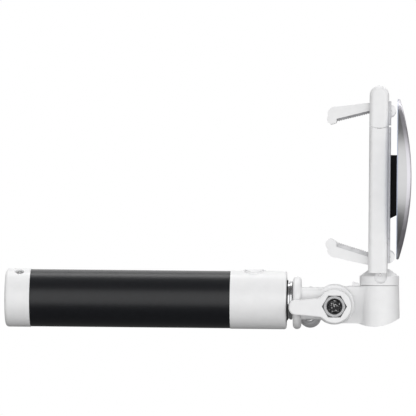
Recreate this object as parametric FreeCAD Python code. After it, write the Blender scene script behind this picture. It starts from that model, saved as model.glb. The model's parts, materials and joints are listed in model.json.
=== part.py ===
import FreeCAD, Part
import math
import os

V = FreeCAD.Vector

# A telescopic selfie stick.  X runs along the handle to the head, Z is up, -Y is the button hand's side.
# The origin is the middle of the grip, on the handle's axis.

# ---- handle
grip_r = 13.1
grip_half = 45.7
cap_r = 13.3
cap_len = 11.4
collar_len = 25.7
core_r = 10.85
guide_tube_r = 9.5
guide_tube_wall = 0.5
core_back = -48.0
core_front = 66.0
collar_front = grip_half + collar_len
nose_front = collar_front + 0.6
strap_x = -50.6
strap_tilt = 25.0
strap_pocket_r = 2.1
cap_screw_x = -52.3
cap_screw_tilt = 37.0

# ---- shutter button
button_x = 56.5
button_a = 4.3
button_b = 5.3
button_proud = 0.65
board_z = 9.9

# ---- pole
tube_radii = [8.5, 7.1, 5.7, 4.3, 2.9]
tube_wall = 0.5
tube_front = 74.0
mouth_len = 4.0
bush_len = 16.0
bush_play = 0.06
tube_back = [-45.0, -43.5, -42.0, -40.5, -39.0]

# ---- neck and lead
neck_z = -1.1
disc_back = 74.3
disc_len = 3.8
disc_r = 12.05
neck_back = disc_back + disc_len
neck_half_w = 8.3
neck_top = 5.9
neck_bottom = -8.6
ear_x = 93.2
ear_z = -1.6
ear_r = 9.1
fork_back = 84.4
fork_half = 4.5
pivot_x = 93.4
pivot_z = -2.3
bolt_r = 3.0
lead_r = 0.95
coil_r = 5.15
plug_z = 3.8
coil_route = [(80.4, 13.1, -6.4), (81.6, 20.6, -8.0), (81.9, 28.8, -8.4)]
tail_route = [(81.9, 28.8, -8.4), (82.0, 35.9, -8.4), (82.1, 39.4, -2.3), (82.0, 35.9, 3.8),
              (82.0, 28.6, 3.8)]

# ---- lever
lever_back = -12.4
lever_face = -16.0
lever_tip_x = 72.6
boss_r = 7.8
nut_face = -15.5
nut_flats = 9.5
washer_t = 0.3

# ---- tilting head
tongue_r = 8.3
tongue_half = 4.2
arm_top = 6.6
arm_bottom = -10.2
base_x = 113.6
base_r = 9.0
base_draft = 0.55
flare_r = 10.0
base_top = 7.1
swivel_gap = 0.2
cap_shoulder = 11.4
cap_top = 14.6
screw_r = 2.0
latch_x = 104.2

# ---- clamp
clamp_front = 108.5
clamp_back = 117.3
cover_back = 118.3
clamp_bottom_z = 13.0
lower_seam = 26.8
upper_seam = 79.8
clamp_top_z = 98.2
clamp_half = 12.5
clamp_round = 2.2
cover_half = 11.0
cover_screw_y = 9.3
channel_half = 7.7
claw_half = 7.3
hub_x = 117.6
upper_hub_z = 86.8
lower_hub_z = 20.3
hub_r = 2.6
lug_r = 2.9
lug_out = 9.9
pin_r = 0.9
rod_x = 113.0
rod_y = 10.1
rod_r = 1.0
rod_bottom = 30.6
spring_bottom = 32.2
spring_top = 70.0
jaw_travel = 25.0

# ---- mirror
mirror_z = 55.75
mirror_a = 20.0
mirror_b = 36.75
mirror_back = 121.6
mirror_peak = 127.8
mirror_curve_r = 125.0
rim_w = 2.5
film_t = 0.4


# ---- basic solids
def rod(r, x0, x1, y=0.0, z=0.0):
    return Part.makeCylinder(r, x1 - x0, V(x0, y, z), V(1, 0, 0))


def axle(r, y0, y1, x, z):
    return Part.makeCylinder(r, y1 - y0, V(x, y0, z), V(0, 1, 0))


def post(r, z0, z1, x=0.0, y=0.0):
    return Part.makeCylinder(r, z1 - z0, V(x, y, z0), V(0, 0, 1))


def block(x0, x1, y0, y1, z0, z1):
    return Part.makeBox(x1 - x0, y1 - y0, z1 - z0, V(x0, y0, z0))


def pipe(r_out, r_in, x0, x1):
    return rod(r_out, x0, x1).cut(rod(r_in, x0, x1))


def line(a, b):
    return Part.LineSegment(V(*a), V(*b)).toShape()


def plate(points, y0, y1):
    """An outline of (x, z) points in the XZ plane, extruded along Y."""
    corners = [V(x, y0, z) for x, z in points]
    face = Part.Face(Part.makePolygon(corners + corners[:1]))
    return face.extrude(V(0, y1 - y0, 0))


def arc_plate(edges, y0, y1):
    """An outline of lines, 2 points, and arcs, 3 points, in the XZ plane, extruded along Y."""
    shapes = []
    for points in edges:
        at = [V(x, y0, z) for x, z in points]
        curve = Part.Arc(*at) if len(at) == 3 else Part.LineSegment(*at)
        shapes.append(curve.toShape())
    return Part.Face(Part.Wire(shapes)).extrude(V(0, y1 - y0, 0))


def ellipse_prism(a, b, centre, normal, a_dir, length):
    curve = Part.Ellipse(V(0, 0, 0), a, b) if a >= b else Part.Ellipse(V(0, 0, 0), b, a)
    face = Part.Face(Part.Wire([curve.toShape()]))
    long_dir = a_dir if a >= b else normal.cross(a_dir)
    turn = FreeCAD.Rotation(long_dir, normal.cross(long_dir), normal, "ZXY")
    face.Placement = FreeCAD.Placement(centre, turn)
    return face.extrude(normal * length)


def rounded(shape, radius, chosen):
    edges = [e for e in shape.Edges if chosen(e.BoundBox)]
    return shape.makeFillet(radius, edges)


def union(first, *others):
    for other in others:
        first = first.fuse(other)
    return first.removeSplitter()


def around_axis(tilt):
    """The outward direction at an angle from the top, towards -Y, and the direction round the handle."""
    t = math.radians(tilt)
    return V(0, -math.sin(t), math.cos(t)), V(0, -math.cos(t), -math.sin(t))


def radial(r, x, tilt, r0, r1):
    out = around_axis(tilt)[0]
    return Part.makeCylinder(r, r1 - r0, V(x, 0, 0) + out * r0, out)


def bent_tube(points, r, name):
    """A tube of straight runs joined by tangent arcs that are as large as their runs allow."""
    at = [V(*p) for p in points]
    edges = []
    start = at[0]
    for i in range(1, len(at) - 1):
        back = (at[i - 1] - at[i]).normalize()
        ahead = (at[i + 1] - at[i]).normalize()
        half_turn = (math.pi - back.getAngle(ahead)) / 2
        shorter = min((at[i] - at[i - 1]).Length, (at[i + 1] - at[i]).Length)
        cut = 0.45 * shorter
        radius = cut / math.tan(half_turn)
        print(name, "arc", i, "radius", round(radius, 2), "diameters", round(radius / r / 2, 2))
        middle = (back + ahead).normalize()
        a = at[i] + back * cut
        b = at[i] + ahead * cut
        m = at[i] + middle * (radius / math.cos(half_turn) - radius)
        edges.append(Part.LineSegment(start, a).toShape())
        edges.append(Part.Arc(a, m, b).toShape())
        start = b
    edges.append(Part.LineSegment(start, at[-1]).toShape())
    path = Part.Wire(edges)
    ring = Part.Wire([Part.Circle(at[0], at[1] - at[0], r).toShape()])
    tube = path.makePipeShell([ring], True, False)
    print(name, "volume", round(tube.Volume, 1), "section x length", round(math.pi * r * r * path.Length, 1))
    return tube


# ---- handle
def end_cap():
    x0 = -grip_half - cap_len
    body = rounded(rod(cap_r, x0, -grip_half), 1.6, lambda b: b.XMax < x0 + 0.1)
    body = body.cut(rod(core_r, core_back, -grip_half)).cut(rod(9.9, x0 + 3.0, core_back))
    body = body.cut(radial(strap_pocket_r, strap_x, strap_tilt, 10.7, 15))
    return body.cut(strap_bar()).cut(cap_screw())


def strap_bar():
    out, round_way = around_axis(strap_tilt)
    start = V(strap_x, 0, 0) + out * 12.2 - round_way * 2.9
    return Part.makeCylinder(0.55, 5.8, start, round_way)


def cap_screw():
    head = radial(0.55, cap_screw_x, cap_screw_tilt, 12.4, 13.1)
    return union(head, radial(0.4, cap_screw_x, cap_screw_tilt, 7.5, 12.4))


def tail_plug():
    plug = union(rod(9.9, -grip_half - cap_len + 3.0, core_back), rod(9.0, core_back, -45.6))
    return plug.cut(radial(0.4, cap_screw_x, cap_screw_tilt, 7.5, 12.4)).cut(rod(1.9, -47.5, -45.6))


def inner_lead():
    return rod(1.9, -47.5, 58.0)


def grip_sleeve():
    sleeve = pipe(grip_r, core_r, -grip_half, grip_half)
    return rounded(sleeve, 0.3, lambda b: b.ZMax > grip_r - 0.1 and b.XLength < 0.1)


def handle_core():
    core = pipe(core_r, guide_tube_r, core_back, core_front)
    core = core.cut(block(49.5, 64.5, -6, 6, board_z, 12))
    return core.cut(screws_of_case())


def handle_tube():
    return pipe(guide_tube_r, guide_tube_r - guide_tube_wall, core_back, core_front)


def front_collar():
    shell = rounded(rod(cap_r, grip_half, collar_front), 1.0, lambda b: b.XMin > collar_front - 0.1)
    rim = button_prism(button_a + 0.9, button_b + 0.9, 10.0, 4.0).common(rod(cap_r + 0.35, 45.7, 71))
    shell = shell.fuse(rim)
    shell = shell.cut(rod(core_r, grip_half, 48.3)).cut(rod(11.9, 48.3, 68.4))
    shell = shell.cut(rod(10.25, 68.4, collar_front))
    shell = shell.cut(button_prism(button_a + 0.25, button_b + 0.25, 8.0, 8.0))
    return shell.cut(screws_of_case())


def pole_guide():
    ring = union(rod(10.25, core_front, collar_front), rod(9.2, collar_front, nose_front))
    ring = ring.cut(rod(tube_radii[0] + bush_play, core_front, nose_front))
    return ring.cut(rod(9.0, core_front, core_front + 0.6))


def button_prism(a, b, z0, height):
    return ellipse_prism(a, b, V(button_x, 0, z0), V(0, 0, 1), V(1, 0, 0), height)


def shutter_button():
    skin = rod(cap_r + button_proud, 45, 68)
    body = button_prism(button_a, button_b, 11.35, 4.0).common(skin)
    body = body.cut(button_prism(button_a - 0.8, button_b - 0.8, 11.0, 1.5))
    body = body.fuse(post(0.8, 12.0, 12.6, button_x))
    for way in (-1, 1):
        tab_x = button_x + way * (button_a + 0.4)
        body = body.fuse(block(tab_x - 0.9, tab_x + 0.9, -2.2, 2.2, 11.0, 11.5))
        body = body.cut(Part.makeSphere(0.6, V(button_x + way * 2.4, -1.5, cap_r + button_proud + 0.25)))
    return body.removeSplitter()


def switch_board():
    board = block(button_x - 3.3, button_x + 3.3, -4.2, 4.2, board_z, board_z + 0.8)
    for y in (-3.2, 3.2):
        board = board.cut(post(0.5, 9.0, 12.0, button_x, y))
    return board


def tact_switch():
    case = block(button_x - 1.7, button_x + 1.7, -1.7, 1.7, board_z + 0.8, board_z + 1.2)
    return union(case, post(0.8, board_z + 1.2, board_z + 1.4, button_x))


def screws_of_case():
    """Two screws hold the board to the core, and two hold the collar to the core from below."""
    screws = []
    for y in (-3.2, 3.2):
        head = post(0.8, board_z + 0.8, board_z + 1.1, button_x, y)
        screws.append(head.fuse(post(0.5, board_z - 0.4, board_z + 0.8, button_x, y)))
    for tilt in (150.0, 210.0):
        head = radial(1.1, 47.0, tilt, 12.3, 13.1)
        screws.append(head.fuse(radial(0.6, 47.0, tilt, 9.6, 12.3)))
    return Part.makeCompound(screws)


# ---- pole
def pole_tube(i):
    r = tube_radii[i]
    x1 = tube_front if i < len(tube_radii) - 1 else neck_back + 1.3
    body = pipe(r, r - tube_wall, tube_back[i], x1)
    if i < len(tube_radii) - 1:
        bore = tube_radii[i + 1] + bush_play
        body = union(body, pipe(r - tube_wall, bore, x1 - mouth_len, x1))
    if i == 0:
        bead = rounded(pipe(r + 0.35, r, x1 - 1.2, x1), 0.3, lambda b: b.ZMax > r + 0.3 and b.XLength < 0.1)
        body = union(body, bead)
    return body


def pole_bush(i):
    parent_r = guide_tube_r if i == 0 else tube_radii[i - 1]
    outer = parent_r - tube_wall - bush_play
    return pipe(outer, tube_radii[i], tube_back[i], tube_back[i] + bush_len)


# ---- neck, lever and lead
def disc_flange():
    body = rod(disc_r, disc_back, neck_back, 0, neck_z)
    body = rounded(body, 1.85, lambda b: b.XLength < 0.1)
    return body.cut(rod(tube_radii[-1], disc_back, neck_back))


def neck_fork():
    root = block(neck_back, ear_x, -neck_half_w, neck_half_w, neck_bottom, neck_top)
    root = rounded(root, 2.0, lambda b: b.YLength < 0.1 and b.ZLength < 0.1)
    ears = axle(ear_r, -neck_half_w, neck_half_w, ear_x, ear_z)
    ears = rounded(ears, 0.7, lambda b: b.YLength < 0.1)
    body = union(root, ears)
    body = body.cut(block(fork_back, 104, -fork_half, fork_half, -14, 10))
    body = body.cut(axle(bolt_r, -9, 9, pivot_x, pivot_z)).cut(axle(5.0, 5.9, 9, pivot_x, pivot_z))
    body = body.cut(rod(tube_radii[-1], neck_back, neck_back + 1.3))
    body = body.cut(axle(1.8, -6.2, neck_half_w, 82.0, plug_z))
    return body.cut(axle(1.6, 5.0, neck_half_w, 80.3, -6.1))


def pivot_bolt():
    shaft = axle(bolt_r, -15.6, 5.9, pivot_x, pivot_z)
    shaft = rounded(shaft, 0.5, lambda b: b.YMax < -15.5)
    head = axle(5.0, 5.9, 8.1, pivot_x, pivot_z)
    return union(shaft, head).cut(hexagon(4.0, 6.6, 8.1))


def hexagon(flats, y0, y1):
    r = flats / math.sqrt(3)
    turns = [k * math.pi / 3 for k in range(6)]
    corner = [(pivot_x + r * math.cos(t), pivot_z + r * math.sin(t)) for t in turns]
    return plate(corner, y0, y1)


def pivot_washer():
    y1 = -neck_half_w
    ring = axle(6.4, y1 - washer_t, y1, pivot_x, pivot_z)
    return ring.cut(axle(bolt_r, y1 - washer_t, y1, pivot_x, pivot_z))


def lock_lever():
    top_in = (88.5, 1.5)
    top_out = (74.2, 0.25)
    low_out = (74.6, -6.3)
    low_in = (88.5, -7.5)
    tip = (lever_tip_x, -3.0)
    arm = arc_plate([(low_in, top_in), (top_in, top_out), (top_out, tip, low_out), (low_out, low_in)],
                    lever_face, lever_back)
    arm = union(arm, axle(boss_r, lever_face, lever_back, pivot_x, pivot_z))
    arm = rounded(arm, 3.0, lambda b: b.XLength < 0.1 and b.ZLength < 0.1 and 80 < b.XMin < 90)
    arm = rounded(arm, 0.8, lambda b: b.YMax < lever_face + 0.1)
    body = union(arm, axle(boss_r, lever_back, -neck_half_w - washer_t - 0.05, pivot_x, pivot_z))
    body = body.cut(hexagon(nut_flats, -11.6, -8)).cut(hexagon(nut_flats + 0.4, -17, -11.9))
    body = body.cut(axle(bolt_r + 0.3, -17, -8, pivot_x, pivot_z))
    return body


def hex_nut():
    y0 = nut_face
    body = hexagon(nut_flats, y0, -11.9)
    cone = Part.makeCone(nut_flats / 2, nut_flats / 2 + 7, 4.0, V(pivot_x, y0, pivot_z), V(0, 1, 0))
    body = body.common(cone)
    mouth = Part.makeCone(bolt_r + 0.7, bolt_r, 0.7, V(pivot_x, y0, pivot_z), V(0, 1, 0))
    return body.cut(axle(bolt_r + 0.05, y0, -11.9, pivot_x, pivot_z)).cut(mouth)


def cord_grommet():
    foot = axle(1.6, 5.0, neck_half_w, 80.3, -6.1)
    flange = axle(2.2, neck_half_w, neck_half_w + 0.8, 80.3, -6.1)
    taper = Part.makeCone(1.9, 1.2, 3.5, V(80.3, neck_half_w + 0.8, -6.1), V(0, 1, 0))
    return union(foot, flange, taper)


def plug_body():
    y0 = neck_half_w + 0.1
    grip = rounded(axle(2.1, y0, y0 + 14, 82.0, plug_z), 0.4, lambda b: b.YLength < 0.1)
    tail = Part.makeCone(1.9, 1.2, 28.6 - y0 - 14, V(82.0, y0 + 14, plug_z), V(0, 1, 0))
    return union(grip, tail)


def plug_pin():
    y1 = neck_half_w + 0.1
    tip = Part.makeCone(0.6, 1.75, 1.4, V(82.0, y1 - 14, plug_z), V(0, 1, 0))
    pin = union(tip, axle(1.75, y1 - 12.6, y1, 82.0, plug_z))
    for y in (-3.4, -0.9):
        groove = axle(1.8, y, y + 0.35, 82.0, plug_z).cut(axle(1.6, y, y + 0.35, 82.0, plug_z))
        pin = pin.cut(groove)
    return pin


# ---- tilting head
def latch_track(grow):
    foot = block(97.2, 104.6, -2.4 - grow, 2.4 + grow, 4.7 - grow, 5.5 + grow)
    return foot.fuse(block(97.2, 104.6, -1.5 - grow, 1.5 + grow, 4.7, 6.7))


def flare():
    """The arm widens into the drum through a large fillet on each side."""
    reach = math.sqrt((base_r + flare_r) ** 2 - (tongue_half + flare_r) ** 2)
    share = base_r / (base_r + flare_r)
    start = (base_x - reach, tongue_half)
    end = (base_x - reach * share, (tongue_half + flare_r) * share)
    turn = math.atan2(end[0] - start[0], flare_r - (end[1] - start[1])) / 2
    middle = (start[0] + flare_r * math.sin(turn), tongue_half + flare_r * (1 - math.cos(turn)))
    top = [V(x, y, arm_bottom) for x, y in (start, middle, end)]
    low = [V(x, -y, arm_bottom) for x, y in (end, middle, start)]
    edges = [Part.Arc(*top).toShape(), Part.LineSegment(top[2], low[0]).toShape(), Part.Arc(*low).toShape(),
             Part.LineSegment(low[2], top[0]).toShape()]
    return Part.Face(Part.Wire(edges)).extrude(V(0, 0, arm_top - arm_bottom))


def tilt_base():
    tongue = axle(tongue_r, -tongue_half, tongue_half, pivot_x, pivot_z)
    arm = block(pivot_x, 108, -tongue_half, tongue_half, arm_bottom, arm_top)
    drum = Part.makeCone(base_r + base_draft, base_r, base_top + 13, V(base_x, 0, -13), V(0, 0, 1))
    body = union(tongue, arm, flare(), drum)
    step = (104.3, arm_bottom)
    right = (125, -5.8)
    floor = arc_plate([((80, -30), (125, -30)), ((125, -30), right), (right, (111.0, -11.5), step),
                       (step, (80, arm_bottom)), ((80, arm_bottom), (80, -30))], -15, 15)
    body = body.cut(floor)
    body = body.cut(axle(bolt_r + 0.06, -6, 6, pivot_x, pivot_z))
    return body.cut(post(screw_r, -4, base_top, base_x)).cut(latch_track(0.1))


def swivel_latch():
    foot = block(99.4, latch_x, -2.4, 2.4, 4.7, 5.5).fuse(block(99.4, latch_x, -1.5, 1.5, 4.7, 6.9))
    top = block(101.2, latch_x, -3.0, 3.0, arm_top + 0.1, 7.7)
    lobes = [axle(0.74, -3.0, 3.0, 101.95, 7.95), axle(0.74, -3.0, 3.0, 103.46, 7.55)]
    return union(foot, top, *lobes)


def swivel_screw():
    head = post(3.4, 9.1, 10.7, base_x)
    head = rounded(head, 0.5, lambda b: b.ZMin > 10.6)
    slot = block(base_x - 3, base_x + 3, -0.4, 0.4, 10.1, 11)
    return union(head, post(screw_r, -4, 9.1, base_x)).cut(slot)


def swivel_washer():
    z0 = base_top + swivel_gap + 1.35
    return post(3.8, z0, 9.1, base_x).cut(post(screw_r, z0, 9.1, base_x))


def swivel_shell():
    """The cap's outer form, which the clamp's housing also fits over."""
    drum = post(base_r, base_top + swivel_gap, cap_shoulder, base_x)
    top = Part.makeCone(base_r, 4.5, cap_top - cap_shoulder, V(base_x, 0, cap_shoulder), V(0, 0, 1))
    return union(drum, top)


def foot_tongue():
    return block(base_x - 3.4, base_x + 3.4, -4.4, 4.4, 11.0, cap_top + 0.1)


def foot_pins():
    pins = [axle(0.7, -6.7, -2.0, 114.1, 12.1), axle(0.7, 2.0, 6.7, 114.1, 12.1)]
    return Part.makeCompound(pins)


def swivel_cap():
    body = swivel_shell().cut(post(4.2, 8.6, 11.0, base_x)).cut(foot_tongue())
    body = body.cut(post(screw_r + 0.06, 7, 9, base_x))
    for y0, y1 in ((-10, -6.4), (6.4, 10)):
        body = body.cut(axle(2.85, y0, y1, 114.2, 11.0))
    return body.cut(foot_pins())


# ---- clamp
def clamp_blank(z0, z1, dome=False):
    """The clamp's outer form: a rounded bar, with a round top end when dome is true."""
    half = (clamp_back - clamp_front) / 2
    if dome:
        start = (clamp_front, z0)
        shoulder = clamp_top_z - half
        left = (clamp_front, shoulder)
        right = (clamp_back, shoulder)
        bar = arc_plate([(start, left), (left, (clamp_front + half, clamp_top_z), right),
                         (right, (clamp_back, z0)), ((clamp_back, z0), start)], -clamp_half, clamp_half)
        return rounded(bar, clamp_round, lambda b: b.YLength < 0.1 and b.ZMax > z0 + 0.1)
    bar = block(clamp_front, clamp_back, -clamp_half, clamp_half, z0, z1)
    return rounded(bar, clamp_round, lambda b: b.XLength < 0.1 and b.YLength < 0.1)


def seam_tool(z, below):
    """Everything under, or over, the smile-shaped seam."""
    half = (clamp_back - clamp_front) / 2
    left = (clamp_front - 1, z + 0.4)
    right = (clamp_back + 1, z + 0.4)
    far = z - 60 if below else z + 60
    smile = (left, (clamp_front + half, z - 1.1), right)
    far_right = (clamp_back + 1, far)
    far_left = (clamp_front - 1, far)
    return arc_plate([smile, (right, far_right), (far_right, far_left), (far_left, left)], -14, 14)


def seam_groove(z):
    """A shallow groove round the clamp, just under z."""
    outer = block(clamp_front - 1, clamp_back + 1, -14, 14, z - 0.3, z)
    inset = block(clamp_front + 0.2, clamp_back - 0.2, 0.2 - clamp_half, clamp_half - 0.2, z - 0.3, z)
    return outer.cut(rounded(inset, clamp_round - 0.2, lambda b: b.XLength < 0.1 and b.YLength < 0.1))


def hub_lugs(z):
    out = axle(lug_r, channel_half, lug_out, hub_x, z)
    near = axle(lug_r, -lug_out, -channel_half, hub_x, z)
    return [out, near]


def claw_pin(z):
    return axle(pin_r, -lug_out, lug_out, hub_x, z)


def channel(z0, z1, x1=clamp_back + 4):
    return block(clamp_front - 1, x1, -channel_half, channel_half, z0, z1)


def rod_holes(r, z0, z1):
    return post(r, z0, z1, rod_x, rod_y).fuse(post(r, z0, z1, rod_x, -rod_y))


def clamp_bottom():
    body = clamp_blank(clamp_bottom_z, lower_seam)
    body = union(body, *hub_lugs(lower_hub_z))
    body = body.cut(swivel_shell())
    body = union(body, foot_tongue().common(block(100, 130, -5, 5, 10, clamp_bottom_z + 2)))
    body = body.cut(channel(15.9, lower_seam + 1)).cut(seam_groove(lower_seam))
    return body.cut(claw_pin(lower_hub_z)).cut(foot_pins())


def clamp_body():
    body = clamp_blank(lower_seam, upper_seam + 2).common(seam_tool(upper_seam, True))
    body = body.cut(channel(lower_seam, upper_seam + 3, clamp_back - 1.0))
    body = body.cut(channel(upper_seam - 2.8, upper_seam + 3)).cut(channel(lower_seam - 1, lower_seam + 2.2))
    body = body.cut(rod_holes(rod_r + 0.06, spring_top, upper_seam + 3))
    return body.cut(rod_holes(1.85, 29.5, spring_top)).cut(cover_screws())


def top_slider():
    body = clamp_blank(upper_seam - 2, clamp_top_z, True).common(seam_tool(upper_seam + 0.25, False))
    body = union(body, *hub_lugs(upper_hub_z))
    body = body.cut(channel(upper_seam - 3, 91.4))
    return body.cut(claw_pin(upper_hub_z)).cut(guide_rods())


def guide_rods():
    rods = []
    for y in (-rod_y, rod_y):
        bar = post(rod_r, rod_bottom, upper_seam + 4, rod_x, y)
        rods.append(bar.fuse(post(1.6, rod_bottom, spring_bottom - 0.1, rod_x, y)).removeSplitter())
    return Part.makeCompound(rods)


def clamp_springs():
    springs = []
    for y in (-rod_y, rod_y):
        helix = Part.makeHelix(2.7, spring_top - spring_bottom - 0.5, 1.38)
        ring = Part.Wire([Part.Circle(V(1.38, 0, 0), V(0, 1, 0), 0.22).toShape()])
        coil = Part.Wire(helix).makePipeShell([ring], True, True)
        coil.translate(V(rod_x, y, spring_bottom + 0.25))
        springs.append(coil)
    return Part.makeCompound(springs)


def cover_plate(z0, z1, notch_z0, notch_z1):
    body = block(clamp_back, cover_back, -cover_half, cover_half, z0, z1)
    body = rounded(body, 0.4, lambda b: b.XMin > cover_back - 0.1 and b.YLength < 0.1)
    return body.cut(block(clamp_back - 1, cover_back + 1, -lug_out - 0.1, lug_out + 0.1, notch_z0, notch_z1))


def back_cover():
    body = cover_plate(17.5, upper_seam - 0.4, 10, lower_seam + 2.2)
    for z in (28.8, 76.3):
        for y in (-cover_half, cover_half):
            body = body.cut(axle(0.35, y - 0.6, y + 0.6, 117.8, z))
    return body.cut(cover_screws())


def slider_cover():
    return cover_plate(upper_seam + 0.6, 91.2, upper_seam - 1, 89.9)


def small_screw(x0, x1, head_x, y, z):
    """A screw along X with its pan head at head_x, towards the tip when the head is at the high end."""
    way = 1 if head_x > x0 else -1
    head = rod(1.5, min(head_x, head_x + 0.7 * way), max(head_x, head_x + 0.7 * way), y, z)
    return rod(0.8, x0, x1, y, z).fuse(head).removeSplitter()


def cover_screws():
    """Four screws hold the cover, and two hold the mirror's block through the web."""
    places = [(y, z) for y in (-cover_screw_y, cover_screw_y) for z in (33.0, 72.5)]
    screws = [small_screw(115.4, 117.7, 117.6, y, z) for y, z in places]
    screws += [small_screw(116.3, 120.6, 116.3, 0.0, z) for z in (50.4, 56.6)]
    return Part.makeCompound(screws)


def upper_claw():
    edges = [
        ((108.8, 90.5), (93.6, 88.5)),
        ((93.6, 88.5), (90.0, 87.0), (89.45, 84.3)),
        ((89.45, 84.3), (89.9, 81.0), (91.1, 80.4)),
        ((91.1, 80.4), (93.4, 81.2)),
        ((93.4, 81.2), (93.6, 83.0)),
        ((93.6, 83.0), (108.4, 86.75)),
        ((108.4, 86.75), (112.0, 86.6)),
        ((112.0, 86.6), (116.4, 84.6)),
        ((116.4, 84.6), (118.4, 89.2)),
        ((118.4, 89.2), (108.8, 90.5)),
    ]
    return claw_from(edges, upper_hub_z)


def lower_claw():
    edges = [
        ((108.9, 16.4), (92.7, 19.9)),
        ((92.7, 19.9), (90.4, 21.3), (89.8, 23.9)),
        ((89.8, 23.9), (90.1, 28.0), (91.3, 28.5)),
        ((91.3, 28.5), (94.0, 27.0)),
        ((94.0, 27.0), (94.1, 24.7)),
        ((94.1, 24.7), (108.3, 20.3)),
        ((108.3, 20.3), (112.0, 20.8)),
        ((112.0, 20.8), (116.9, 22.7)),
        ((116.9, 22.7), (118.4, 17.9)),
        ((118.4, 17.9), (108.9, 16.4)),
    ]
    return claw_from(edges, lower_hub_z)


def claw_from(edges, hub_z):
    body = arc_plate(edges, -claw_half, claw_half)
    body = union(body, axle(hub_r, -claw_half, claw_half, hub_x, hub_z))
    return body.cut(axle(pin_r + 0.06, -claw_half, claw_half, hub_x, hub_z))


def ribbed_pad(foot, tip, thick, teeth):
    """A strip from foot to tip on a claw's inner face, with ribs along Y.  thick is signed along Z."""
    (x0, z0), (x1, z1) = foot, tip
    slope = (z1 - z0) / (x1 - x0)
    pitch = (x1 - x0) / teeth
    rib = 1 - 0.35 / abs(thick)
    points = [(x0, z0), (x1, z1)]
    for k in range(teeth, 0, -1):
        for part, high in ((0.0, 1.0), (0.5, 1.0), (0.6, rib), (0.9, rib)):
            x = x0 + (k - part) * pitch
            points.append((x, z0 + (x - x0) * slope + thick * high))
    points.append((x0, z0 + thick))
    return plate(points, -claw_half + 0.7, claw_half - 0.7)


# ---- mirror
def oval(a, b, x0, x1):
    return ellipse_prism(b, a, V(x0, 0, mirror_z), V(1, 0, 0), V(0, 0, 1), x1 - x0)


def dome(r):
    """The space inside a gently curved front face, whose axis runs along Y."""
    return axle(r, -30, 30, mirror_peak - mirror_curve_r, mirror_z)


def mirror_film():
    return oval(mirror_a - 0.2, mirror_b - 0.2, mirror_back - film_t, mirror_back)


def mirror_shell():
    return oval(mirror_a, mirror_b, mirror_back, 130).common(dome(mirror_curve_r - 2.0))


def mirror_glass():
    body = oval(mirror_a - rim_w, mirror_b - rim_w, mirror_back, 130).common(dome(mirror_curve_r - 0.8))
    return body.cut(dome(mirror_curve_r - 2.0))


def mirror_rim():
    body = oval(mirror_a, mirror_b, mirror_back, 130).common(dome(mirror_curve_r))
    body = rounded(body, 0.9, lambda b: b.XMax > mirror_peak - 1.8 and b.XMin > mirror_back + 0.5)
    body = body.cut(dome(mirror_curve_r - 2.0))
    return body.cut(oval(mirror_a - rim_w, mirror_b - rim_w, mirror_back - 1, 131))


def mirror_mount():
    front = mirror_back - film_t
    body = plate([(cover_back, 37.8), (front, 39.3), (front, 66.7), (cover_back, 66.7)], -8.5, 8.5)
    return body.cut(cover_screws())


def parts():
    made = {
        "end_cap": end_cap(),
        "strap_bar": strap_bar(),
        "cap_screw": cap_screw(),
        "tail_plug": tail_plug(),
        "inner_lead": inner_lead(),
        "grip_sleeve": grip_sleeve(),
        "handle_core": handle_core(),
        "handle_tube": handle_tube(),
        "front_collar": front_collar(),
        "case_screws": screws_of_case(),
        "pole_guide": pole_guide(),
        "switch_board": switch_board(),
        "tact_switch": tact_switch(),
        "shutter_button": shutter_button(),
        "disc_flange": disc_flange(),
        "neck_fork": neck_fork(),
        "pivot_bolt": pivot_bolt(),
        "pivot_washer": pivot_washer(),
        "lock_lever": lock_lever(),
        "hex_nut": hex_nut(),
        "cord_grommet": cord_grommet(),
        "curly_cord": bent_tube(coil_route, coil_r, "curly_cord"),
        "cord_tail": bent_tube(tail_route, lead_r, "cord_tail"),
        "plug_body": plug_body(),
        "plug_pin": plug_pin(),
        "tilt_base": tilt_base(),
        "swivel_latch": swivel_latch(),
        "swivel_screw": swivel_screw(),
        "swivel_washer": swivel_washer(),
        "swivel_cap": swivel_cap(),
        "foot_pins": foot_pins(),
        "clamp_bottom": clamp_bottom(),
        "clamp_body": clamp_body(),
        "back_cover": back_cover(),
        "cover_screws": cover_screws(),
        "clamp_springs": clamp_springs(),
        "guide_rods": guide_rods(),
        "top_slider": top_slider(),
        "slider_cover": slider_cover(),
        "upper_claw": upper_claw(),
        "upper_pad": ribbed_pad((93.8, 83.05), (108.4, 86.75), -1.1, 14),
        "upper_pin": claw_pin(upper_hub_z),
        "lower_claw": lower_claw(),
        "lower_pad": ribbed_pad((94.3, 24.64), (108.3, 20.3), 2.0, 14),
        "lower_pin": claw_pin(lower_hub_z),
        "mirror_mount": mirror_mount(),
        "mirror_film": mirror_film(),
        "mirror_shell": mirror_shell(),
        "mirror_glass": mirror_glass(),
        "mirror_rim": mirror_rim(),
    }
    for i in range(len(tube_radii)):
        made["pole_tube_" + str(i + 1)] = pole_tube(i)
        made["pole_bush_" + str(i + 1)] = pole_bush(i)
    return made


def main():
    os.makedirs("parts", exist_ok=True)
    made = parts()
    for name, shape in made.items():
        print(name, "valid", shape.isValid(), "solids", len(shape.Solids), "volume", round(shape.Volume, 2))
        shape.exportStep("parts/" + name + ".step")
    print(len(made), "nodes")
    for i in range(len(tube_radii)):
        shoulder = core_front if i == 0 else tube_front - mouth_len
        print("travel of tube", i + 1, round(shoulder - tube_back[i] - bush_len - 0.4, 2))


main()
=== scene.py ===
import json
import math

import bpy
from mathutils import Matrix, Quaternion, Vector


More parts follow.
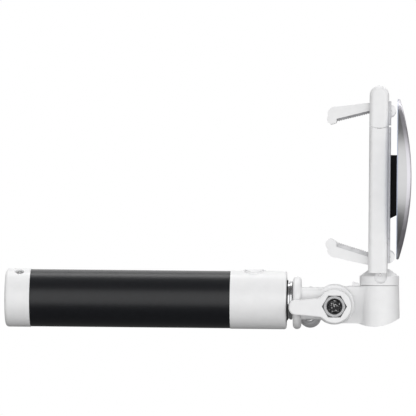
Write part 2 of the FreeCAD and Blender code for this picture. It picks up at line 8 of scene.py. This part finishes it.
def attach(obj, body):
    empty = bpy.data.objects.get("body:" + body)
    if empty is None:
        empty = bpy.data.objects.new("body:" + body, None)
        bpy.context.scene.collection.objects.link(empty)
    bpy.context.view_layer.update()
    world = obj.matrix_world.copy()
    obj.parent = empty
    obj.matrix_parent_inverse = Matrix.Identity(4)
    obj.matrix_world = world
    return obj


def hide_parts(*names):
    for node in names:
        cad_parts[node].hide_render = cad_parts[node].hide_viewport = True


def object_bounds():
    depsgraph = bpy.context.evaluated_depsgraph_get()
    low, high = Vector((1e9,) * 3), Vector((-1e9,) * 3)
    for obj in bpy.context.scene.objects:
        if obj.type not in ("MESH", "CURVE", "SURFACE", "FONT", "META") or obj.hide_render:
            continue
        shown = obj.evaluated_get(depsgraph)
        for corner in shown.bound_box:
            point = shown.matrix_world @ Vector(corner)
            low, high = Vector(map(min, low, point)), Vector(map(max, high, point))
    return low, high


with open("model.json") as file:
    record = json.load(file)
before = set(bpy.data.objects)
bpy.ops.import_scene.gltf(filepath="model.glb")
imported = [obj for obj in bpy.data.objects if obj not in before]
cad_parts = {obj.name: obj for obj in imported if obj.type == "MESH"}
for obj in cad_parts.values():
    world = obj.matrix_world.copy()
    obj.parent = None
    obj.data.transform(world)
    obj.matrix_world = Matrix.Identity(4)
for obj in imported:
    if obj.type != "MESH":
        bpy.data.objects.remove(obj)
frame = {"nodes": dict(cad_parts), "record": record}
cad_box = [list(corner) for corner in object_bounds()]

# The camera looks at the stick's side, from far away through a long lens.
VIEW_WIDTH = 0.1902
AIM = Vector((0.0350, 0.0, 0.0418))
LENS = 450.0
SENSOR = 36.0
AZIMUTH = 2.2
ELEVATION = 0.4
ROLL = 0.5

# The fill's strength above and below, how far down the floor is, and its near and far edges.
FILL_ABOVE = 0.30
FILL_BELOW = 0.20
FILL_FADE = 0.6
FLOOR_DROP = 0.16
FLOOR_HALF = 1.6
FLOOR_NEAR = -0.45
FLOOR_FAR = 1.3

# The curly lead, in metres: the route of its coil and of its plain tail, as in the model.
# Each end opens out over LEAD_IN points, where the coil runs along its line LEAD_PACE times faster.
LEAD_R = 0.00095
COIL_R = 0.00515
COIL_TURNS = 6.6
TURN_POINTS = 14
LEAD_IN = 8
LEAD_PACE = 3.2
LEAD_START = 0.03
COIL_ROUTE = [(0.0804, 0.0131, -0.0064), (0.0816, 0.0206, -0.0080), (0.0819, 0.0288, -0.0084)]
TAIL_ROUTE = [(0.0820, 0.0359, -0.0084), (0.0821, 0.0394, -0.0023), (0.0820, 0.0359, 0.0038),
              (0.0820, 0.0286, 0.0038)]
LEAD_EXIT = (0.0803, 0.0126, -0.0061)


# ---- materials
def scaled(colour, share):
    return tuple(c * share for c in colour)


class Look:
    """A node material that starts from one principled shader."""

    def __init__(self, name, colour, roughness, **values):
        self.material = bpy.data.materials.new(name)
        self.material.use_nodes = True
        self.tree = self.material.node_tree
        self.shader = self.tree.nodes["Principled BSDF"]
        self.set("Base Color", (*colour, 1.0))
        self.set("Roughness", roughness)
        for socket, value in values.items():
            self.set(socket.replace("_", " "), value)

    def set(self, socket, value):
        self.shader.inputs[socket].default_value = value

    def node(self, kind, **values):
        made = self.tree.nodes.new(kind)
        for key, value in values.items():
            setattr(made, key, value)
        return made

    def link(self, source, target):
        self.tree.links.new(source, target)

    def place(self, scale=(1, 1, 1)):
        """Object coordinates, stretched by scale."""
        where = self.node("ShaderNodeTexCoord")
        grow = self.node("ShaderNodeMapping")
        grow.inputs["Scale"].default_value = scale
        self.link(where.outputs["Object"], grow.inputs["Vector"])
        return grow.outputs["Vector"]

    def noise(self, scale, detail=3.0, stretch=(1, 1, 1)):
        made = self.node("ShaderNodeTexNoise")
        made.inputs["Scale"].default_value = scale
        made.inputs["Detail"].default_value = detail
        self.link(self.place(stretch), made.inputs["Vector"])
        return made.outputs["Fac"]

    def spread(self, fac, low, high, start=0.3, end=0.7):
        """fac mapped from start..end to low..high."""
        made = self.node("ShaderNodeMapRange")
        made.inputs["From Min"].default_value = start
        made.inputs["From Max"].default_value = end
        made.inputs["To Min"].default_value = low
        made.inputs["To Max"].default_value = high
        self.link(fac, made.inputs["Value"])
        return made.outputs["Result"]

    def tint(self, fac, low, high, start=0.3, end=0.7):
        """Base colour that goes between two colours with fac."""
        ramp = self.node("ShaderNodeValToRGB")
        ramp.color_ramp.elements[0].position = start
        ramp.color_ramp.elements[1].position = end
        ramp.color_ramp.elements[0].color = (*low, 1.0)
        ramp.color_ramp.elements[1].color = (*high, 1.0)
        self.link(fac, ramp.inputs["Fac"])
        self.link(ramp.outputs["Color"], self.shader.inputs["Base Color"])

    def bump(self, fac, strength, distance):
        made = self.node("ShaderNodeBump")
        made.inputs["Strength"].default_value = strength
        made.inputs["Distance"].default_value = distance
        self.link(fac, made.inputs["Height"])
        self.link(made.outputs["Normal"], self.shader.inputs["Normal"])


def white_plastic():
    look = Look("white_plastic", (0.79, 0.79, 0.795), 0.38, IOR=1.46)
    haze = look.noise(260.0, 4.0)
    look.tint(haze, (0.775, 0.775, 0.78), (0.805, 0.805, 0.81))
    look.link(look.spread(look.noise(900.0, 2.0), 0.32, 0.44), look.shader.inputs["Roughness"])
    look.bump(look.noise(3200.0, 2.0), 0.04, 0.0001)
    return look.material


def grip_black():
    look = Look("grip_black", (0.004, 0.0045, 0.006), 0.34, Specular_IOR_Level=0.35)
    grain = look.noise(5200.0, 3.0)
    look.tint(look.noise(420.0, 4.0), (0.0035, 0.004, 0.0055), (0.005, 0.0055, 0.0075))
    look.link(look.spread(grain, 0.30, 0.40), look.shader.inputs["Roughness"])
    look.bump(grain, 0.10, 0.00012)
    return look.material


def black_plastic():
    look = Look("black_plastic", (0.006, 0.006, 0.006), 0.7, Specular_IOR_Level=0.12)
    grain = look.noise(4200.0, 4.0)
    look.tint(look.noise(600.0), (0.004, 0.004, 0.0045), (0.008, 0.008, 0.0085))
    look.link(look.spread(grain, 0.6, 0.8), look.shader.inputs["Roughness"])
    look.bump(grain, 0.2, 0.0001)
    return look.material


def brushed(name, colour, roughness, stretch):
    look = Look(name, colour, roughness, Metallic=1.0)
    lines = look.noise(900.0, 3.0, stretch)
    look.tint(lines, scaled(colour, 0.8), colour)
    look.link(look.spread(lines, roughness * 0.8, roughness * 1.3), look.shader.inputs["Roughness"])
    look.bump(lines, 0.08, 0.00008)
    return look.material


def chrome(name, colour, roughness, dents=0.015):
    look = Look(name, colour, roughness, Metallic=1.0)
    haze = look.noise(350.0, 4.0)
    look.tint(haze, scaled(colour, 0.94), colour)
    look.link(look.spread(haze, roughness * 0.9, roughness * 1.1), look.shader.inputs["Roughness"])
    look.bump(look.noise(700.0, 2.0), dents, 0.0001)
    return look.material


def dark_screw():
    look = Look("dark_screw", (0.02, 0.02, 0.022), 0.3, Metallic=0.7)
    wear = look.noise(1500.0, 5.0)
    look.tint(wear, (0.006, 0.006, 0.007), (0.40, 0.40, 0.40), 0.56, 0.66)
    look.link(look.spread(wear, 0.22, 0.45), look.shader.inputs["Roughness"])
    look.bump(wear, 0.2, 0.0001)
    return look.material


def nut_grey():
    look = Look("nut_grey", (0.20, 0.20, 0.205), 0.34, Metallic=0.9)
    wear = look.noise(1300.0, 5.0)
    look.tint(wear, (0.20, 0.20, 0.205), (0.38, 0.38, 0.385))
    look.link(look.spread(wear, 0.25, 0.45), look.shader.inputs["Roughness"])
    look.bump(wear, 0.15, 0.0001)
    return look.material


def board_green():
    look = Look("board_green", (0.01, 0.12, 0.05), 0.35)
    tracks = look.noise(1200.0, 1.0, (1, 6, 1))
    look.tint(tracks, (0.008, 0.09, 0.035), (0.015, 0.17, 0.07), 0.48, 0.52)
    look.bump(tracks, 0.2, 0.00005)
    return look.material


def moulded(name, colour, roughness, grain_scale, spread=0.12):
    """Matte plastic or rubber with a fine grain."""
    look = Look(name, colour, roughness)
    grain = look.noise(grain_scale, 3.0)
    look.tint(look.noise(500.0, 4.0), scaled(colour, 1 - spread), scaled(colour, 1 + spread))
    look.link(look.spread(grain, roughness * 0.85, roughness * 1.15), look.shader.inputs["Roughness"])
    look.bump(grain, 0.15, 0.0001)
    return look.material


def mirror_face():
    look = Look("mirror_face", (0.9, 0.9, 0.92), 0.02, Metallic=1.0, Coat_Weight=1.0)
    haze = look.noise(120.0, 4.0)
    look.tint(haze, (0.87, 0.88, 0.90), (0.92, 0.92, 0.93))
    look.link(look.spread(haze, 0.015, 0.035), look.shader.inputs["Roughness"])
    return look.material


def materials():
    return {
        "white_plastic": white_plastic(),
        "grip_black": grip_black(),
        "black_plastic": black_plastic(),
        "steel": brushed("steel", (0.40, 0.40, 0.40), 0.25, (1, 12, 12)),
        "pole_chrome": chrome("pole_chrome", (0.55, 0.55, 0.56), 0.2),
        "bush_white": moulded("bush_white", (0.72, 0.72, 0.70), 0.5, 2500.0, 0.04),
        "dark_screw": dark_screw(),
        "nut_grey": nut_grey(),
        "board_green": board_green(),
        "cord_grey": moulded("cord_grey", (0.50, 0.50, 0.51), 0.42, 3500.0, 0.05),
        # pad_grey and pad_light are one grey rubber in two tones: pad_grey is painted shade for the
        # pad whose teeth face down, and pad_light is painted light for the pad lit from above.
        "pad_grey": moulded("pad_grey", (0.26, 0.26, 0.27), 0.6, 3800.0),
        "pad_light": moulded("pad_light", (0.55, 0.55, 0.56), 0.6, 3800.0),
        # cover_grey is painted shade: the back cover is white plastic, given a mid grey so its edge
        # strip reads as the shaded side.
        "cover_grey": moulded("cover_grey", (0.50, 0.50, 0.52), 0.5, 3000.0, 0.06),
        "film_blue": moulded("film_blue", (0.42, 0.47, 0.60), 0.2, 1500.0, 0.05),
        "silver_shell": chrome("silver_shell", (0.38, 0.38, 0.385), 0.32, 0.003),
        "chrome_trim": chrome("chrome_trim", (0.50, 0.49, 0.52), 0.40, 0.006),
        "mirror_face": mirror_face(),
    }


def dress(made):
    for entry in frame["record"]["subparts"]:
        node = frame["nodes"][entry["node"]]
        for i in range(max(1, len(node.material_slots))):
            if not node.material_slots:
                node.data.materials.append(None)
            node.material_slots[i].link = "OBJECT"
            node.material_slots[i].material = made[entry["material_slot"]]


# ---- the curly lead
def nurbs(name, points, bevel=0.0):
    data = bpy.data.curves.new(name, "CURVE")
    data.dimensions = "3D"
    data.resolution_u = 12
    data.bevel_depth = bevel
    data.bevel_resolution = 6
    data.use_fill_caps = True
    spline = data.splines.new("NURBS")
    spline.points.add(len(points) - 1)
    for point, at in zip(spline.points, points):
        point.co = (*at, 1.0)
    spline.order_u = 3
    spline.use_endpoint_u = True
    made = bpy.data.objects.new(name, data)
    bpy.context.scene.collection.objects.link(made)
    return made


def read_line(points):
    """The points down a route's smooth line."""
    guide = nurbs("guide", points)
    mesh = bpy.data.meshes.new_from_object(guide)
    line = [v.co.copy() for v in mesh.vertices]
    bpy.data.meshes.remove(mesh)
    bpy.data.objects.remove(guide)
    return line


def along(line, share):
    """The point and direction at a share of a line's length."""
    lengths = [(b - a).length for a, b in zip(line, line[1:])]
    left = share * sum(lengths)
    for a, b, length in zip(line, line[1:], lengths):
        if left <= length or b is line[-1]:
            return a.lerp(b, min(1.0, left / length)), (b - a).normalized()
        left -= length


def helix(route):
    """Even turns round a route, which open out from its line at both ends."""
    line = read_line(route)
    steps = round(COIL_TURNS * TURN_POINTS)
    spread = [min(1.0, k / LEAD_IN, (steps - k) / LEAD_IN) for k in range(steps + 1)]
    pace = [1.0 + (LEAD_PACE - 1.0) * (1.0 - share) for share in spread]
    points = []
    for k in range(steps + 1):
        share = LEAD_START + (1 - LEAD_START) * sum(pace[:k]) / sum(pace[:-1])
        centre, ahead = along(line, share)
        side = ahead.cross(Vector((0, 0, 1))).normalized()
        up = side.cross(ahead)
        turn = 2 * math.pi * k / TURN_POINTS + math.pi / 2
        reach = (COIL_R - LEAD_R) * spread[k] ** 2 * (3 - 2 * spread[k])
        points.append(centre + reach * (side * math.cos(turn) + up * math.sin(turn)))
    return points


def curly_lead(look):
    points = [Vector(LEAD_EXIT)] + helix(COIL_ROUTE) + [Vector(p) for p in TAIL_ROUTE]
    lead = nurbs("lead", points, LEAD_R)
    lead.data.materials.append(look)
    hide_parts("curly_cord", "cord_tail")
    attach(lead, "neck")


# ---- stage, light and camera
def floor():
    """A plain floor that doesn't throw light back up at the object."""
    low = cad_box[0][2] - FLOOR_DROP
    near = [(-FLOOR_HALF, FLOOR_NEAR, low), (FLOOR_HALF, FLOOR_NEAR, low)]
    far = [(FLOOR_HALF, FLOOR_FAR, low), (-FLOOR_HALF, FLOOR_FAR, low)]
    mesh = bpy.data.meshes.new("floor")
    mesh.from_pydata(near + far, [], [(0, 1, 2, 3)])
    made = bpy.data.objects.new("floor", mesh)
    bpy.context.scene.collection.objects.link(made)
    mesh.materials.append(moulded("floor_pale", (0.8, 0.8, 0.8), 0.8, 60.0, 0.01))
    made.visible_diffuse = False
    made.visible_glossy = False
    made.visible_shadow = False


def panel(name, at, towards, size, brightness):
    """A soft box of an even brightness."""
    data = bpy.data.lights.new(name, "AREA")
    data.shape = "RECTANGLE"
    data.size, data.size_y = size
    data.energy = brightness * math.pi * size[0] * size[1]
    made = bpy.data.objects.new(name, data)
    made.location = at
    made.rotation_mode = "QUATERNION"
    made.rotation_quaternion = (Vector(towards) - Vector(at)).to_track_quat("-Z", "Y")
    made.visible_camera = False
    bpy.context.scene.collection.objects.link(made)


def studio():
    """A white backdrop, and a dimmer fill that is weaker from below."""
    world = bpy.data.worlds.new("studio")
    world.use_nodes = True
    nodes = world.node_tree.nodes
    links = world.node_tree.links
    backdrop = nodes["Background"]
    backdrop.inputs["Color"].default_value = (1, 1, 1, 1)
    fill = nodes.new("ShaderNodeBackground")
    where = nodes.new("ShaderNodeTexCoord")
    parts = nodes.new("ShaderNodeSeparateXYZ")
    fade = nodes.new("ShaderNodeMapRange")
    fade.inputs["From Min"].default_value = -FILL_FADE
    fade.inputs["From Max"].default_value = FILL_FADE
    fade.inputs["To Min"].default_value = FILL_BELOW
    fade.inputs["To Max"].default_value = FILL_ABOVE
    links.new(where.outputs["Generated"], parts.inputs["Vector"])
    links.new(parts.outputs["Z"], fade.inputs["Value"])
    links.new(fade.outputs["Result"], fill.inputs["Strength"])
    seen = nodes.new("ShaderNodeLightPath")
    mix = nodes.new("ShaderNodeMixShader")
    links.new(seen.outputs["Is Camera Ray"], mix.inputs["Fac"])
    links.new(fill.outputs["Background"], mix.inputs[1])
    links.new(backdrop.outputs["Background"], mix.inputs[2])
    links.new(mix.outputs["Shader"], nodes["World Output"].inputs["Surface"])
    bpy.context.scene.world = world


def lights():
    studio()
    panel("top_strip", (0.0, 0.38, 1.0), (0.02, 0, 0), (2.0, 0.30), 4.8)
    panel("back_box", (0.0, 1.5, 0.95), (0.05, 0, 0.02), (2.6, 1.2), 1.1)
    panel("front_box", (0.1, -2.9, 0.30), (0.05, 0, 0.02), (9.0, 3.1), 1.75)
    panel("right_box", (2.3, -0.7, 0.3), (0.1, 0, 0.05), (1.4, 1.6), 1.5)


def camera():
    data = bpy.data.cameras.new("camera")
    data.lens = LENS
    data.sensor_width = SENSOR
    made = bpy.data.objects.new("camera", data)
    a = math.radians(AZIMUTH)
    e = math.radians(ELEVATION)
    back = Vector((math.sin(a) * math.cos(e), -math.cos(a) * math.cos(e), math.sin(e)))
    distance = VIEW_WIDTH / 2 / math.tan(math.atan(SENSOR / 2 / LENS))
    made.location = AIM + back * distance
    made.rotation_mode = "QUATERNION"
    look = (-back).to_track_quat("-Z", "Y")
    made.rotation_quaternion = look @ Quaternion((0, 0, 1), math.radians(ROLL))
    data.clip_start = 0.05
    data.clip_end = 60.0
    bpy.context.scene.collection.objects.link(made)
    bpy.context.scene.camera = made


def colours():
    bpy.context.scene.view_settings.view_transform = "Standard"


camera()
made = materials()
dress(made)
curly_lead(made["cord_grey"])
floor()
lights()
colours()
